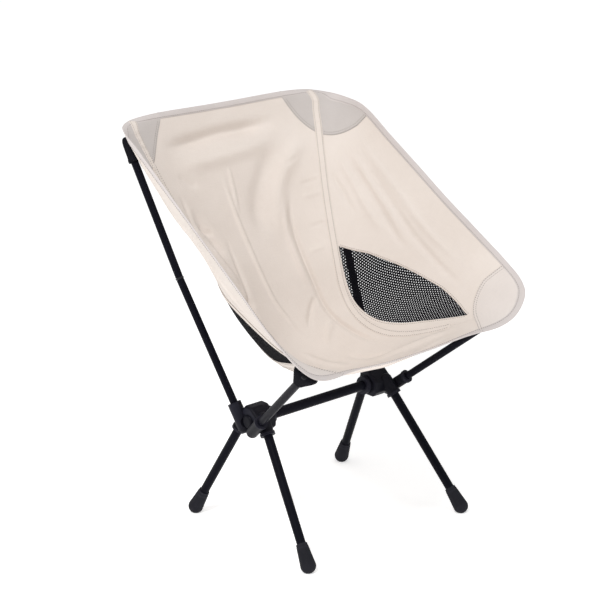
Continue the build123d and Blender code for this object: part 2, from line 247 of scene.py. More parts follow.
def fold_field():
    """How far each place of the cloth stands off the bare sling, on a grid of places."""
    rows, columns = np.meshgrid(
        np.linspace(0, 1, FIELD_ROWS), np.linspace(-1, 1, FIELD_COLUMNS), indexing="ij"
    )
    points = bare_sling(columns, rows).reshape(-1, 3)
    height = np.zeros(len(points))
    for line, width, tall in FOLDS:
        path = on_bare_sling(line)
        d, s = nearest(points, path)
        span = np.linalg.norm(np.diff(path, axis=0), axis=1).sum()
        ends = np.clip(np.minimum(s, span - s) / (0.3 * span), 0, 1)
        ends = 3 * ends**2 - 2 * ends**3
        height += tall * FOLD_DEPTH * MM * np.exp(-((d / (width * MM)) ** 2)) * ends
    draws = np.random.default_rng(11)
    for tall, waves_across, waves_down in SWELL:
        for _ in range(7):
            turn = draws.uniform(0, 2 * math.pi, 2)
            a, b = draws.uniform(0.5, 1.4, 2)
            across_wave = np.sin(columns * waves_across * a + turn[0])
            down_wave = np.sin(rows * waves_down * b * 2 + turn[1])
            height += tall * MM / 2.6 * (across_wave * down_wave).ravel()
    down = np.linspace(0.02, 0.98, 60)
    for side in (1, -1):
        path = bare_sling(side * seam(down), down)
        d, s = nearest(points, path)
        ripple = np.sin(s / PUCKER_WAVE * 2 * math.pi + 1.5 * np.sin(s * 31))
        height += PUCKER_MM * MM * np.exp(-((d / PUCKER_REACH) ** 2)) * ripple
    size = np.abs(columns)
    rim = np.clip((1 - size) / 0.06, 0, 1)  # the folds die out towards the binding
    rim = rim * np.clip(rows / 0.04, 0, 1) * np.clip((1 - rows) / 0.05, 0, 1)
    return (height * rim.ravel()).reshape(rows.shape)


FIELD = fold_field()


def field_at(across, down):
    """The fold field's height at any places, between its grid's points."""
    r = np.clip(np.asarray(down, float), 0, 1) * (FIELD_ROWS - 1)
    c = (np.clip(np.asarray(across, float), -1, 1) + 1) / 2 * (FIELD_COLUMNS - 1)
    i = np.minimum(r.astype(int), FIELD_ROWS - 2)
    j = np.minimum(c.astype(int), FIELD_COLUMNS - 2)
    r, c = r - i, c - j
    low = FIELD[i, j] * (1 - c) + FIELD[i, j + 1] * c
    high = FIELD[i + 1, j] * (1 - c) + FIELD[i + 1, j + 1] * c
    return low * (1 - r) + high * r


def sling(across, down, lift=0.0):
    """Points of the folded cloth, lifted towards the sitter."""
    off = field_at(across, down) + lift
    return bare_sling(across, down) + sling_normal(across, down) * off[..., None]


def beside(path, offset):
    """Places an offset to the side of a path on the sling; both are (across, down) rows."""
    across, down = path[:, 0], path[:, 1]
    over, along = slopes_of(across, down)
    way = unit(np.gradient(bare_sling(across, down), axis=0))
    side = unit(np.cross(sling_normal(across, down), way))
    e, f, g = ((p * q).sum(-1) for p, q in ((over, over), (over, along), (along, along)))
    p, q = (side * over).sum(-1) * offset, (side * along).sum(-1) * offset
    whole = e * g - f * f
    return np.column_stack([across + (g * p - f * q) / whole, down + (e * q - f * p) / whole])


# ------------------------------------------------------------------ materials
def srgb(red, green, blue):
    """An 8-bit screen colour as the linear one that a shader takes."""
    values = [v / 255 for v in (red, green, blue)]
    return [v / 12.92 if v <= 0.04045 else ((v + 0.055) / 1.055) ** 2.4 for v in values] + [1.0]


class Material:
    """A Principled material and short ways to add the nodes that its detail needs."""

    def __init__(self, name, roughness, specular=0.5, sheen=0.0):
        self.made = bpy.data.materials.new(name)
        self.made.use_nodes = True
        self.tree = self.made.node_tree
        self.shader = self.tree.nodes["Principled BSDF"]
        self.shader.inputs["Roughness"].default_value = roughness
        self.shader.inputs["Specular IOR Level"].default_value = specular
        self.shader.inputs["Sheen Weight"].default_value = sheen
        self.height = None

    def node(self, kind, inputs=(), **settings):
        made = self.tree.nodes.new(kind)
        for key, value in settings.items():
            setattr(made, key, value)
        for key, value in dict(inputs).items():
            if isinstance(value, bpy.types.NodeSocket):
                self.tree.links.new(value, made.inputs[key])
            else:
                made.inputs[key].default_value = value
        return made

    def place(self, uv=None, turn=(0, 0, 0), scale=(1, 1, 1)):
        """Coordinates in metres: the cloth's own, or the object's with a turn and a scale."""
        if uv:
            source = self.node("ShaderNodeUVMap", uv_map=uv).outputs["UV"]
        else:
            source = self.node("ShaderNodeTexCoord").outputs["Object"]
        inputs = {"Vector": source, "Rotation": turn, "Scale": scale}
        return self.node("ShaderNodeMapping", inputs).outputs["Vector"]

    def noise(self, where, scale, detail=3.0, rough=0.55):
        inputs = {"Vector": where, "Scale": scale, "Detail": detail, "Roughness": rough}
        return self.node("ShaderNodeTexNoise", inputs).outputs["Fac"]

    def math(self, operation, a, b=0.5):
        return self.node("ShaderNodeMath", {0: a, 1: b}, operation=operation).outputs[0]

    def spread(self, value, low, high, into_low, into_high):
        """value's range from low to high, spread over another range."""
        inputs = {"Value": value, 1: low, 2: high, 3: into_low, 4: into_high}
        return self.node("ShaderNodeMapRange", inputs).outputs["Result"]

    def mix(self, share, first, second):
        made = self.node("ShaderNodeMix", data_type="RGBA")
        for key, value in ((0, share), (6, first), (7, second)):
            if isinstance(value, bpy.types.NodeSocket):
                self.tree.links.new(value, made.inputs[key])
            else:
                made.inputs[key].default_value = value
        return made.outputs[2]

    def colour(self, value):
        self.tree.links.new(value, self.shader.inputs["Base Color"])

    def rough(self, value):
        self.tree.links.new(value, self.shader.inputs["Roughness"])

    def bump(self, height, strength, distance):
        """Adds one more layer of relief on those before it."""
        inputs = {"Height": height, "Strength": strength, "Distance": distance}
        if self.height is not None:
            inputs["Normal"] = self.height
        self.height = self.node("ShaderNodeBump", inputs).outputs["Normal"]
        self.tree.links.new(self.height, self.shader.inputs["Normal"])


WAVE_LENGTH = math.pi / 10  # of a Wave texture at scale 1


def weave(m, where, pitch):
    """Plain weave: warp and weft threads of that pitch that pass over each other by turns."""
    threads = []
    for way in ("X", "Y"):
        inputs = {"Vector": where, "Scale": WAVE_LENGTH / pitch, "Distortion": 0.0}
        wave = m.node("ShaderNodeTexWave", inputs, wave_type="BANDS", bands_direction=way)
        threads.append(wave.outputs["Fac"])
    return m.math("MULTIPLY", threads[0], threads[1])


def cloth_material(name, light, dark, pitch, relief, tint, sheen=0.12, specular=0.28):
    """Woven cloth: a weave in its own coordinates, soft blotches of tone and faint slubs."""
    m = Material(name, roughness=0.82, specular=specular, sheen=sheen)
    where = m.place(uv="cloth")
    threads = weave(m, where, pitch)
    slub = m.noise(m.place(uv="cloth", scale=(60, 900, 1)), 1.0, detail=2.0)
    slub_two = m.noise(m.place(uv="cloth", scale=(900, 60, 1)), 1.0, detail=2.0)
    blotch = m.noise(m.place(), 9.0, detail=4.0)
    share = m.math("ADD", m.math("MULTIPLY", slub, 0.3), m.math("MULTIPLY", slub_two, 0.3))
    share = m.math("ADD", share, m.math("MULTIPLY", blotch, 0.6))
    share = m.spread(share, 0.40, 0.80, 0.0, 1.0)
    tone = m.mix(share, light, dark)
    gaps = m.spread(threads, 0.0, 0.5, tint, 0.0)
    m.colour(m.mix(gaps, tone, [v * 0.72 for v in dark[:3]] + [1.0]))
    m.rough(m.spread(blotch, 0.3, 0.7, 0.76, 0.90))
    m.bump(blotch, 0.25, 0.0015)
    m.bump(threads, relief, 0.00025)
    return m.made


def thread_material(name, tone):
    m = Material(name, roughness=0.6, specular=0.35, sheen=0.1)
    twist = m.noise(m.place(), 1800.0, detail=1.0)
    m.colour(m.mix(m.spread(twist, 0.35, 0.65, 0.0, 1.0), tone, [v * 0.7 for v in tone[:3]] + [1.0]))
    m.bump(twist, 0.4, 0.0001)
    return m.made


def tube_material(name, direction):
    """Black anodised aluminium with the fine drawn grain of the tube along its direction."""
    m = Material(name, roughness=0.38, specular=0.05)
    turn = Vector(direction).to_track_quat("Z", "Y").inverted().to_euler()
    grain = m.noise(m.place(turn=turn, scale=(2400, 2400, 18)), 1.0, detail=3.0)
    cloud = m.noise(m.place(), 38.0, detail=4.0)
    wear = m.noise(m.place(turn=turn, scale=(420, 420, 60)), 1.0, detail=5.0)
    scuff = m.spread(wear, 0.66, 0.78, 0.0, 0.35)
    base = m.mix(cloud, srgb(10, 10, 17), srgb(18, 18, 27))
    m.colour(m.mix(scuff, base, srgb(46, 46, 54)))
    m.rough(m.spread(grain, 0.3, 0.7, 0.30, 0.46))
    m.bump(grain, 0.12, 0.0001)
    return m.made


def moulded_material(name, low, high, roughness, grain_scale, relief, specular):
    """Moulded plastic or rubber: a fine spark-eroded grain, and edges rubbed a little lighter."""
    m = Material(name, roughness=roughness, specular=specular)
    grain = m.noise(m.place(), grain_scale, detail=3.0, rough=0.6)
    cloud = m.noise(m.place(), 60.0, detail=3.0)
    base = m.mix(cloud, low, high)
    edge = m.node("ShaderNodeNewGeometry").outputs["Pointiness"]
    worn = m.spread(edge, 0.51, 0.60, 0.0, 0.5)
    m.colour(m.mix(worn, base, [min(1.0, v * 2.6) for v in high[:3]] + [1.0]))
    m.rough(m.spread(grain, 0.3, 0.7, roughness - 0.08, roughness + 0.10))
    m.bump(grain, relief, 0.0002)
    return m.made


def alloy_material():
    """The pole joint's dark anodised spigot, with fine rings turned into its collar."""
    m = Material("spigot_alloy", roughness=0.35, specular=0.2)
    ring = m.noise(m.place(scale=(1, 1, 40)), 60.0, detail=2.0)
    m.colour(m.mix(ring, srgb(24, 24, 29), srgb(40, 40, 46)))
    m.rough(m.spread(ring, 0.3, 0.7, 0.28, 0.42))
    m.bump(ring, 0.15, 0.0001)
    return m.made


def cord_material():
    """Braided elastic cord."""
    m = Material("shock_cord", roughness=0.75, sheen=0.2)
    plaits = []
    for lean in (0.9, -0.9):
        where = m.place(turn=(lean, 0, 0.3))
        wave = m.node("ShaderNodeTexWave", {"Vector": where, "Scale": WAVE_LENGTH / 0.0012})
        plaits.append(wave.outputs["Fac"])
    braid = m.math("MULTIPLY", *plaits)
    m.colour(m.mix(braid, srgb(24, 24, 26), srgb(64, 64, 68)))
    m.bump(braid, 0.6, 0.0003)
    return m.made


CREAM, CREAM_DARK = srgb(232, 222, 214), srgb(222, 211, 202)
# The top patches' grey is the front patches' pale cloth darkened by painted shade, because the top
# corners sit in shade; only the slight greyness against the cream is the cloth's own.
PATCH_GREY_PAINTED_SHADE, PATCH_GREY_DARK_PAINTED_SHADE = srgb(203, 196, 192), srgb(192, 185, 181)
LILAC, LILAC_DARK = srgb(215, 207, 204), srgb(205, 197, 194)
PALE, PALE_DARK = srgb(228, 219, 213), srgb(217, 208, 202)
FABRIC = cloth_material("sling_cloth", CREAM, CREAM_DARK, 0.6 * MM, 0.35, tint=0.16)
PATCH_CLOTH = {
    # the top patches get the pale patch cloth darkened with painted shade
    "top": cloth_material("top_patch_cloth_painted_shade", PATCH_GREY_PAINTED_SHADE, PATCH_GREY_DARK_PAINTED_SHADE, 0.5 * MM, 0.3, tint=0.14),
    "front": cloth_material("front_patch_cloth", PALE, PALE_DARK, 0.5 * MM, 0.3, tint=0.14),
}
TAPE_CLOTH = cloth_material("binding_cloth", LILAC, LILAC_DARK, 0.9 * MM, 0.6, tint=0.2)
WEBBING = cloth_material(
    "pocket_cloth", srgb(26, 26, 33), srgb(15, 15, 20), 1.1 * MM, 0.9, tint=0.5, sheen=0.0,
    specular=0.08,
)
MESH_CLOTH = cloth_material(
    "mesh_cloth", srgb(17, 16, 21), srgb(10, 9, 13), 0.5 * MM, 0.5, tint=0.3, sheen=0.0,
    specular=0.06,
)
THREAD = thread_material("cream_thread", srgb(138, 127, 118))
DARK_THREAD = thread_material("dark_thread", srgb(48, 47, 52))


# ------------------------------------------------------------------ building pieces
def add_piece(name, points, faces, material, places=None):
    """A mesh piece on the chair's body. places, in metres, are its cloth coordinates."""
    mesh = bpy.data.meshes.new(name)
    mesh.from_pydata([tuple(p) for p in points], [], faces)
    mesh.materials.append(material)
    if places is not None:
        layer = mesh.uv_layers.new(name="cloth")
        corner = np.zeros(len(mesh.loops), int)
        mesh.loops.foreach_get("vertex_index", corner)
        layer.data.foreach_set("uv", np.asarray(places, np.float32)[corner].ravel())
    mesh.polygons.foreach_set("use_smooth", [True] * len(mesh.polygons))
    made = bpy.data.objects.new(name, mesh)
    bpy.context.scene.collection.objects.link(made)
    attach(made, "chair")
    return made


def thicken(piece, thickness, offset=0.0):
    solid = piece.modifiers.new("thickness", "SOLIDIFY")
    solid.thickness = thickness
    solid.offset = offset
    solid.use_quality_normals = True
    return piece


def grid_faces(rows, columns, start=0, closed=False):
    """Quads over a grid of points, facing the sitter. closed joins the last row to the first."""
    faces = []
    for i in range(rows if closed else rows - 1):
        after = (i + 1) % rows
        for j in range(columns - 1):
            a, b = start + i * columns + j, start + after * columns + j
            faces.append((a, b, b + 1, a + 1))
    return faces


def cloth_places(points):
    """Flat coordinates of a grid of points, in metres, along its rows and columns."""
    over = np.linalg.norm(np.diff(points, axis=1), axis=2)
    over = np.concatenate([np.zeros((len(points), 1)), np.cumsum(over, axis=1)], axis=1)
    over -= over[:, [points.shape[1] // 2]]
    along = np.linalg.norm(np.diff(points, axis=0), axis=2).mean(1)
    along = np.concatenate([[0], np.cumsum(along)])
    return np.stack([over, np.broadcast_to(along[:, None], over.shape)], -1)


def flat_size(points):
    """The cloth's area, from a grid of points."""
    a = np.cross(points[1:, :-1] - points[:-1, :-1], points[:-1, 1:] - points[:-1, :-1])
    b = np.cross(points[:-1, 1:] - points[1:, 1:], points[1:, :-1] - points[1:, 1:])
    return (np.linalg.norm(a, axis=-1).sum() + np.linalg.norm(b, axis=-1).sum()) / 2


def grid_piece(name, grids, material, thickness, lift=0.0):
    """A cloth piece from one or more grids of (across, down) places, joined where they meet."""
    points, places, faces, area = [], [], [], 0.0
    for across, down in grids:
        block = sling(*rounded(across, down), lift)
        faces += grid_faces(*across.shape, start=sum(len(p) for p in points))
        points.append(block.reshape(-1, 3))
        places.append(cloth_places(block).reshape(-1, 2))
        area += flat_size(block)
    piece = add_piece(name, np.concatenate(points), faces, material, np.concatenate(places))
    merge(piece)
    thicken(piece, thickness)
    return piece, area


def merge(piece, distance=1e-5):
    work = bmesh.new()
    work.from_mesh(piece.data)
    bmesh.ops.remove_doubles(work, verts=work.verts, dist=distance)
    bmesh.ops.dissolve_degenerate(work, edges=work.edges, dist=1e-7)
    work.to_mesh(piece.data)
    work.free()


def lanes(inner, outer, downs, count):
    """A grid of places in rows down the sling, from its inner edge to its outer one."""
    share = np.linspace(0, 1, count)[None, :]
    across = inner[:, None] + (outer - inner)[:, None] * share
    return across, np.broadcast_to(downs[:, None], across.shape)


STITCH, STITCH_GAP, THREAD_RADIUS = 3.2 * MM, 0.9 * MM, 0.42 * MM


def stitches(name, rows, material):
    """Rows of stitches, each row given as (path of places, lift, which face of the cloth)."""
    points, faces = [], []
    for path, lift, face in rows:
        line = sling(path[:, 0], path[:, 1], lift * face)
        up = sling_normal(path[:, 0], path[:, 1]) * face
        travelled = np.concatenate([[0], np.cumsum(np.linalg.norm(np.diff(line, axis=0), axis=1))])

        def at(places, values):
            return np.column_stack([np.interp(places, travelled, values[:, k]) for k in range(3)])

        pitch = STITCH + STITCH_GAP
        starts = np.arange(STITCH_GAP, travelled[-1] - STITCH, pitch)
        ends = [at(starts, line), at(starts + 0.25 * STITCH, line), at(starts + 0.75 * STITCH, line),
                at(starts + STITCH, line)]
        normal = unit(at(starts + STITCH / 2, up))
        way = unit(ends[3] - ends[0])
        side = np.cross(way, normal)
        for k in range(len(starts)):
            base = len(points)
            points.append(ends[0][k] - normal[k] * THREAD_RADIUS)
            for ring in (ends[1][k], ends[2][k]):
                for s, n in ((1, 0.1), (0, 1), (-1, 0.1), (0, -0.8)):
                    points.append(ring + (side[k] * s + normal[k] * n) * THREAD_RADIUS)
            points.append(ends[3][k] - normal[k] * THREAD_RADIUS)
            for q in range(4):
                after = (q + 1) % 4
                faces.append((base, base + 1 + after, base + 1 + q))
                faces.append((base + 1 + q, base + 1 + after, base + 5 + after, base + 5 + q))
                faces.append((base + 9, base + 5 + q, base + 5 + after))
    return add_piece(name, points, faces, material)


def strip(name, path, width, thickness, lift, material):
    """A flat tape along a path of places, its long edges rolled down a little."""
    shares = np.array([-1.0, -0.9, -0.5, 0.0, 0.5, 0.9, 1.0])
    drop = np.array([0.55, 0.15, 0.0, 0.0, 0.0, 0.15, 0.55]) * thickness
    lines = [beside(path, s * width / 2) for s in shares]
    across = np.stack([line[:, 0] for line in lines], 1)
    down = np.stack([line[:, 1] for line in lines], 1)
    points = sling(across, down, lift[:, None] - np.sign(lift[:, None]) * drop)
    places = cloth_places(points)
    piece = add_piece(
        name, points.reshape(-1, 3), grid_faces(*across.shape), material, places.reshape(-1, 2)
    )
    thicken(piece, thickness)
    return piece, flat_size(points)


def widest(low, high, levels):
    """The longest line across the cloth between two edges, at any of the levels, in metres."""
    across, down = lanes(low, high, levels, 60)
    return float(np.linalg.norm(np.diff(sling(across, down), axis=1), axis=2).sum(1).max())


def sheet(area, length, width=None):
    """Works out a stretched sheet's flat width from its area and its longest side, when none is given;
    the result is not kept.
    """
    width = width or area / length * 1.02


# ------------------------------------------------------------------ the sling's pieces
downs = np.linspace(0, 1, 231)
edge = seam(downs)
seat, area = grid_piece("seat_panel_cloth", [lanes(-edge, edge, downs, 141)], FABRIC, CLOTH)
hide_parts("seat_panel")
sheet(area, 0.90, widest(-edge, edge, downs))


def wing_grids(sign):
    """The wing's cloth: a strip inside the window and a strip outside it, one sheet beyond its ends."""
    above = np.linspace(0, WINDOW_TOP, 96)
    level = np.linspace(WINDOW_TOP, WINDOW_BOTTOM, 121)
    below = np.linspace(WINDOW_BOTTOM, 1, 40)
    tip_top, tip_bottom = WINDOW_INNER[0][1], WINDOW_INNER[-1][1]
    last = len(below) - 1
    grids = []
    for rows, inner, outer in (
        (above, tip_top + (0.93 - tip_top) * (1 - above / WINDOW_TOP) ** 1.5, None),
        (level, between(WINDOW_INNER, level)[:, 0], between(WINDOW_OUTER, level)[:, 0]),
        (below, tip_bottom + (0.97 - tip_bottom) * (np.arange(last + 1) / last) ** 1.5, None),
    ):
        outer = inner if outer is None else outer
        for low, high, count in ((seam(rows), inner, 19), (outer, np.ones_like(rows), 45)):
            across, down = lanes(low, high, rows, count)
            if sign < 0:
                across, down = -across[:, ::-1], down[:, ::-1]
            grids.append((across, down))
    return grids


def window_ring(sign, offset):
    """The window's outline as a closed path of places, moved outwards by offset."""
    level = np.linspace(WINDOW_TOP, WINDOW_BOTTOM, 70)
    inner = np.column_stack([between(WINDOW_INNER, level)[:, 0] * sign, level])
    outer = np.column_stack([between(WINDOW_OUTER, level)[:, 0] * sign, level])
    return [beside(inner, -offset * sign), beside(outer, offset * sign)]


CELL, HOLE_SHARE = 4.3 * MM, 0.37
CELL_ACROSS, CELL_DOWN = 0.37, 0.62  # metres for each unit across and down, near the window


def window_mesh(side, sign):
    """Knitted mesh: a sheet of six-sided cells with a hole in each, sewn under the window's edge."""
    margin = 6 * MM
    points, faces = [], []
    row_step = CELL * math.sqrt(3) / 2
    rows = int(0.5 / row_step)
    for r in range(rows):
        for k in range(int(0.45 / CELL)):
            x = (k + 0.5 * (r % 2)) * CELL
            across, down = x / CELL_ACROSS, (0.24 + r * row_step) / CELL_DOWN
            if not WINDOW_TOP - 0.008 < down < WINDOW_BOTTOM + 0.008:
                continue
            level = min(max(down, WINDOW_TOP), WINDOW_BOTTOM)
            low = between(WINDOW_INNER, level)[0] - margin / CELL_ACROSS
            high = between(WINDOW_OUTER, level)[0] + margin / CELL_ACROSS
            if not low < across < high:
                continue
            start = len(points)
            for scale in (1.0, HOLE_SHARE):
                for q in range(6):
                    angle = math.pi / 3 * q + math.pi / 6
                    reach = CELL / math.sqrt(3) * scale
                    points.append((across + math.cos(angle) * reach / CELL_ACROSS,
                                   down + math.sin(angle) * reach / CELL_DOWN))
            for q in range(6):
                after = (q + 1) % 6
                quad = (start + q, start + after, start + 6 + after, start + 6 + q)
                faces.append(quad if sign < 0 else quad[::-1])
    places = np.array(points) * (sign, 1)
    made = sling(places[:, 0], places[:, 1], -(CLOTH / 2 + 0.45 * MM))
    flat = np.abs(places) * (CELL_ACROSS, CELL_DOWN)
    piece = add_piece(f"{side}_window_mesh", made, faces, MESH_CLOTH, flat)
    merge(piece, 2e-4)
    area = sum(face.area for face in piece.data.polygons)
    thicken(piece, 0.5 * MM)
    return piece, area


FRONT_PATCH_START = 0.872
PATCH_REACH = 0.183  # down the sling from the hem
PATCH_SHAPE = {"top": (0.60, 2.4), "front": (0.62, 1.5)}  # its inner end across, and its roundness
PATCH_STITCHES = (1.6 * MM, 5.6 * MM)  # from the patch's edge
SEAM_TAPE, SEAM_TAPE_BELOW = 13 * MM, 14 * MM  # widths
SEAM_STITCHES = 4.6 * MM  # from the seam
WINDOW_TAPE, WINDOW_TAPE_DEPTH = 10 * MM, 1.2 * MM  # it covers the mesh's cut edge from outside


def patch_edge(end, across):
    """How far from the hem a corner patch reaches, at places across the sling."""
    size = np.abs(across)
    start, power = PATCH_SHAPE[end]
    reach = np.clip((0.9 - size) / (0.9 - start), 0, 1)
    return PATCH_REACH * (1 - reach**power) ** (1 / power) - 0.12 * np.clip(size - 0.9, 0, 1)


def corner_patch(side, sign, end):
    """A rounded reinforcing patch over one corner, with two rows of stitches along its edge."""
    start = PATCH_SHAPE[end][0]
    size = start + (0.985 - start) * np.linspace(0, 1, 44) ** 1.4
    reach = patch_edge(end, size)
    share = np.linspace(0, 1, 36)[:, None]
    down = 0.006 + (reach[None, :] - 0.006) * share
    down[:, 0] = 0.006
    if end == "front":
        down = 1 - down
    across = np.broadcast_to(size[None, :] * sign, down.shape)
    if (sign < 0) != (end == "front"):
        across, down = across[:, ::-1], down[:, ::-1]
    lift = CLOTH / 2 + PATCH / 2
    name = f"{side}_{end}_patch_cloth"
    piece, area = grid_piece(name, [(across, down)], PATCH_CLOTH[end], PATCH, lift)
    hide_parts(f"{side}_{end}_corner_patch")
    sheet(area, 0.12, 0.10)
    rim = np.column_stack([size * sign, reach if end == "top" else 1 - reach])
    inward = 1 if (sign > 0) == (end == "top") else -1
    rows = []
    for inset in PATCH_STITCHES:
        path = beside(rim, inward * inset)
        rows += [(path, CLOTH / 2 + PATCH, 1), (path, CLOTH / 2, -1)]
    stitches(f"{side}_{end}_patch_stitches", rows, THREAD)


for side, sign in SIDES.items():
    wing, area = grid_piece(f"{side}_wing_cloth", wing_grids(sign), FABRIC, CLOTH)
    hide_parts(f"{side}_wing_panel")
    sheet(area, 0.95, widest(edge, np.ones_like(edge), downs))

    net, area = window_mesh(side, sign)
    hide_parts(f"{side}_mesh_window")

    for end in ("top", "front"):
        corner_patch(side, sign, end)

    levels = np.linspace(0.008, 0.992, 260)
    line = np.column_stack([seam(levels) * sign, levels])
    # on top, the tape climbs over the top corner's patch
    top_lift = CLOTH / 2 + TAPE / 2 + np.clip((0.18 - levels) / 0.02, 0, 1) * PATCH
    shown = levels < FRONT_PATCH_START
    tape, area = strip(f"{side}_seam_tape", line[shown], SEAM_TAPE, TAPE, top_lift[shown], FABRIC)
    under = np.full_like(top_lift, -(CLOTH / 2 + TAPE / 2))
    lower, area_under = strip(f"{side}_seam_tape_underside", line, SEAM_TAPE_BELOW, TAPE, under, FABRIC)
    for piece, its_area in ((tape, area), (lower, area_under)):
        sheet(its_area, its_area / SEAM_TAPE)
    rows = []
    for offset in (-SEAM_STITCHES, SEAM_STITCHES):
        path = beside(line, offset)
        rows += [(path[shown], top_lift[shown] + TAPE / 2, 1), (path, CLOTH / 2 + TAPE, -1)]
    stitches(f"{side}_seam_stitches", rows, THREAD)

    for part, path in zip(("inner", "outer"), window_ring(sign, WINDOW_TAPE / 2)):
        lift = np.full(len(path), -(CLOTH / 2 + WINDOW_TAPE_DEPTH))
        tape, area = strip(f"{side}_window_{part}_tape", path, WINDOW_TAPE, TAPE, lift, FABRIC)
        sheet(area, area / WINDOW_TAPE)
    rows = []
    for path in window_ring(sign, 3 * MM):
        rows += [(path, CLOTH / 2, 1), (path, CLOTH / 2 + WINDOW_TAPE_DEPTH + TAPE / 2, -1)]
    stitches(f"{side}_window_stitches", rows, THREAD)


# ------------------------------------------------------------------ edge binding
def rim_path(count=760):
    """Round the whole edge of the sling: top hem, left side, front hem, right side."""
    steps = count // 4
    share = np.linspace(0, 1, steps, endpoint=False)
    one = np.ones(steps)
    across = np.concatenate([-1 + 2 * share, one, 1 - 2 * share, -one])
    down = np.concatenate([0 * one, share, one, 1 - share])
    return np.column_stack(rounded(across, down))


def ring_beside(path, offset):
    """As beside, for a closed path: its ends are joined before the direction is taken."""
    padded = np.concatenate([path[-4:], path, path[:4]])
    return beside(padded, offset)[4:-4]


rim = rim_path()
half = CLOTH / 2 + 0.45 * MM
upper = [(BINDING_WIDTH, 0.75), (BINDING_WIDTH - 0.6 * MM, 1.0), (BINDING_WIDTH / 2, 1.05),
         (1.5 * MM, 1.05), (-0.2 * MM, 0.9), (-0.9 * MM, 0.45)]
profile = upper + [(-1.1 * MM, 0.0)] + [(inset, -level) for inset, level in upper[::-1]]
rings = []
for inset, level in profile:
    ring = ring_beside(rim, -inset)
    rings.append(sling(ring[:, 0], ring[:, 1], level * half))
points = np.stack(rings, 1)
places = cloth_places(points)
binding = add_piece(
    "edge_binding_tape",
    points.reshape(-1, 3),
    [face[::-1] for face in grid_faces(len(rim), len(profile), closed=True)],
    TAPE_CLOTH,
    places.reshape(-1, 2),
)
thicken(binding, 0.45 * MM)
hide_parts("left_edge_binding", "right_edge_binding")
path = ring_beside(rim, 2.2 * MM - BINDING_WIDTH)
path = np.concatenate([path, path[:1]])
lift = half * 1.05 + 0.25 * MM
stitches("edge_binding_stitches", [(path, lift, 1), (path, lift, -1)], THREAD)


# ------------------------------------------------------------------ pockets over the pole tips
def axis_of(node):
    """A straight CAD member's two ends, on its own axis, the upper one last."""
    co = np.array([v.co for v in frame["nodes"][node].data.vertices], float)
    centre = (co.min(0) + co.max(0)) / 2
    way = np.linalg.svd(co - co.mean(0), full_matrices=False)[2][0]
    way = way * math.copysign(1, way[2])
    along = (co - centre) @ way
    return centre + way * along.min(), centre + way * along.max(), way


POCKET_PAST_TIP = 1.5 * MM
POCKET_SIDES = 40
BACK_POCKET, FRONT_POCKET = 43 * MM, 34 * MM  # their lengths


def pocket(name, node, length, rings, towards):
    """A sewn sleeve over a pole's tip. rings are (share of the length from the mouth, half
    width, half thickness, shift towards the cloth), all but the first in mm."""
    low, high, way = axis_of(node)
    wide = unit(np.cross(towards, way))
    thick = unit(np.cross(way, wide))
    start = high + way * POCKET_PAST_TIP - way * length
    points, count = [], POCKET_SIDES
    for share, half_width, half_thick, shift in rings:
        centre = start + way * share * length + thick * shift * MM
        for q in range(count):
            a = 2 * math.pi * q / count
            x = math.copysign(abs(math.cos(a)) ** 0.8, math.cos(a)) * half_width * MM
            y = math.copysign(abs(math.sin(a)) ** 0.8, math.sin(a)) * half_thick * MM
            points.append(centre + wide * x + thick * y)
    faces = []
    for i in range(len(rings) - 1):
        for q in range(count):
            a, b = i * count + q, i * count + (q + 1) % count
            faces.append((a, b, b + count, a + count))
    faces.append(tuple((len(rings) - 1) * count + q for q in range(count)))
    places = [(q / count * 0.05, share * length) for share, *_ in rings for q in range(count)]
    piece = add_piece(name, points, faces, WEBBING, np.array(places))
    smooth = piece.modifiers.new("soft", "SUBSURF")
    smooth.levels = smooth.render_levels = 1
    thicken(piece, 0.9 * MM, offset=-1)
    return piece


POCKET_FOOT, WEB_THICK, WEB_FROM_AXIS = 16 * MM, 2.4 * MM, 6.5 * MM
WEB_ROWS, WEB_COLUMNS = 24, 6


def pocket_web(side, sign, length):
    """What holds a back pocket to the cloth: a doubled web from the sleeve to a foot sewn on."""
    low, high, way = axis_of(f"{side}_back_pole_tip")
    shares = np.linspace(0.9, 0.03, WEB_ROWS)[:, None]
    centres = high + way * POCKET_PAST_TIP - way * length * shares
    across, down = np.meshgrid(np.linspace(0.6, 0.99, 100) * sign, np.linspace(0.008, 0.2, 100))
    cloth = sling(across, down, -CLOTH / 2)
    near = [int(np.linalg.norm(cloth - centre, axis=-1).argmin()) for centre in centres]
    share = np.linspace(0, 1, WEB_ROWS)
    straight = [np.polyfit(share, values.ravel()[near], 1) for values in (across, down)]
    places = np.column_stack([np.polyval(line, share) for line in straight])
    lift = np.full(WEB_ROWS, -(CLOTH / 2 + TAPE / 2))
    foot, area = strip(f"{side}_back_pocket_foot", places, POCKET_FOOT, TAPE, lift, WEBBING)
    sewn = sling(places[:, 0], places[:, 1], lift - TAPE / 2)
    sleeve = centres + unit(sewn - centres) * WEB_FROM_AXIS
    points = sleeve[:, None] + (sewn - sleeve)[:, None] * np.linspace(0, 1, WEB_COLUMNS)[None, :, None]
    flat = cloth_places(points).reshape(-1, 2)
    web = add_piece(f"{side}_back_pocket_web", points.reshape(-1, 3), grid_faces(WEB_ROWS, WEB_COLUMNS),
                    WEBBING, flat)
    thicken(web, WEB_THICK)
    reach = float(np.linalg.norm(points[-1, 0] - points[0, 0]))
    for piece, its_area in ((foot, area), (web, flat_size(points))):
        sheet(its_area, reach)
    rows = [(beside(places, offset), CLOTH / 2 + TAPE, -1) for offset in (-6 * MM, 6 * MM)]
    stitches(f"{side}_back_pocket_stitches", rows, DARK_THREAD)


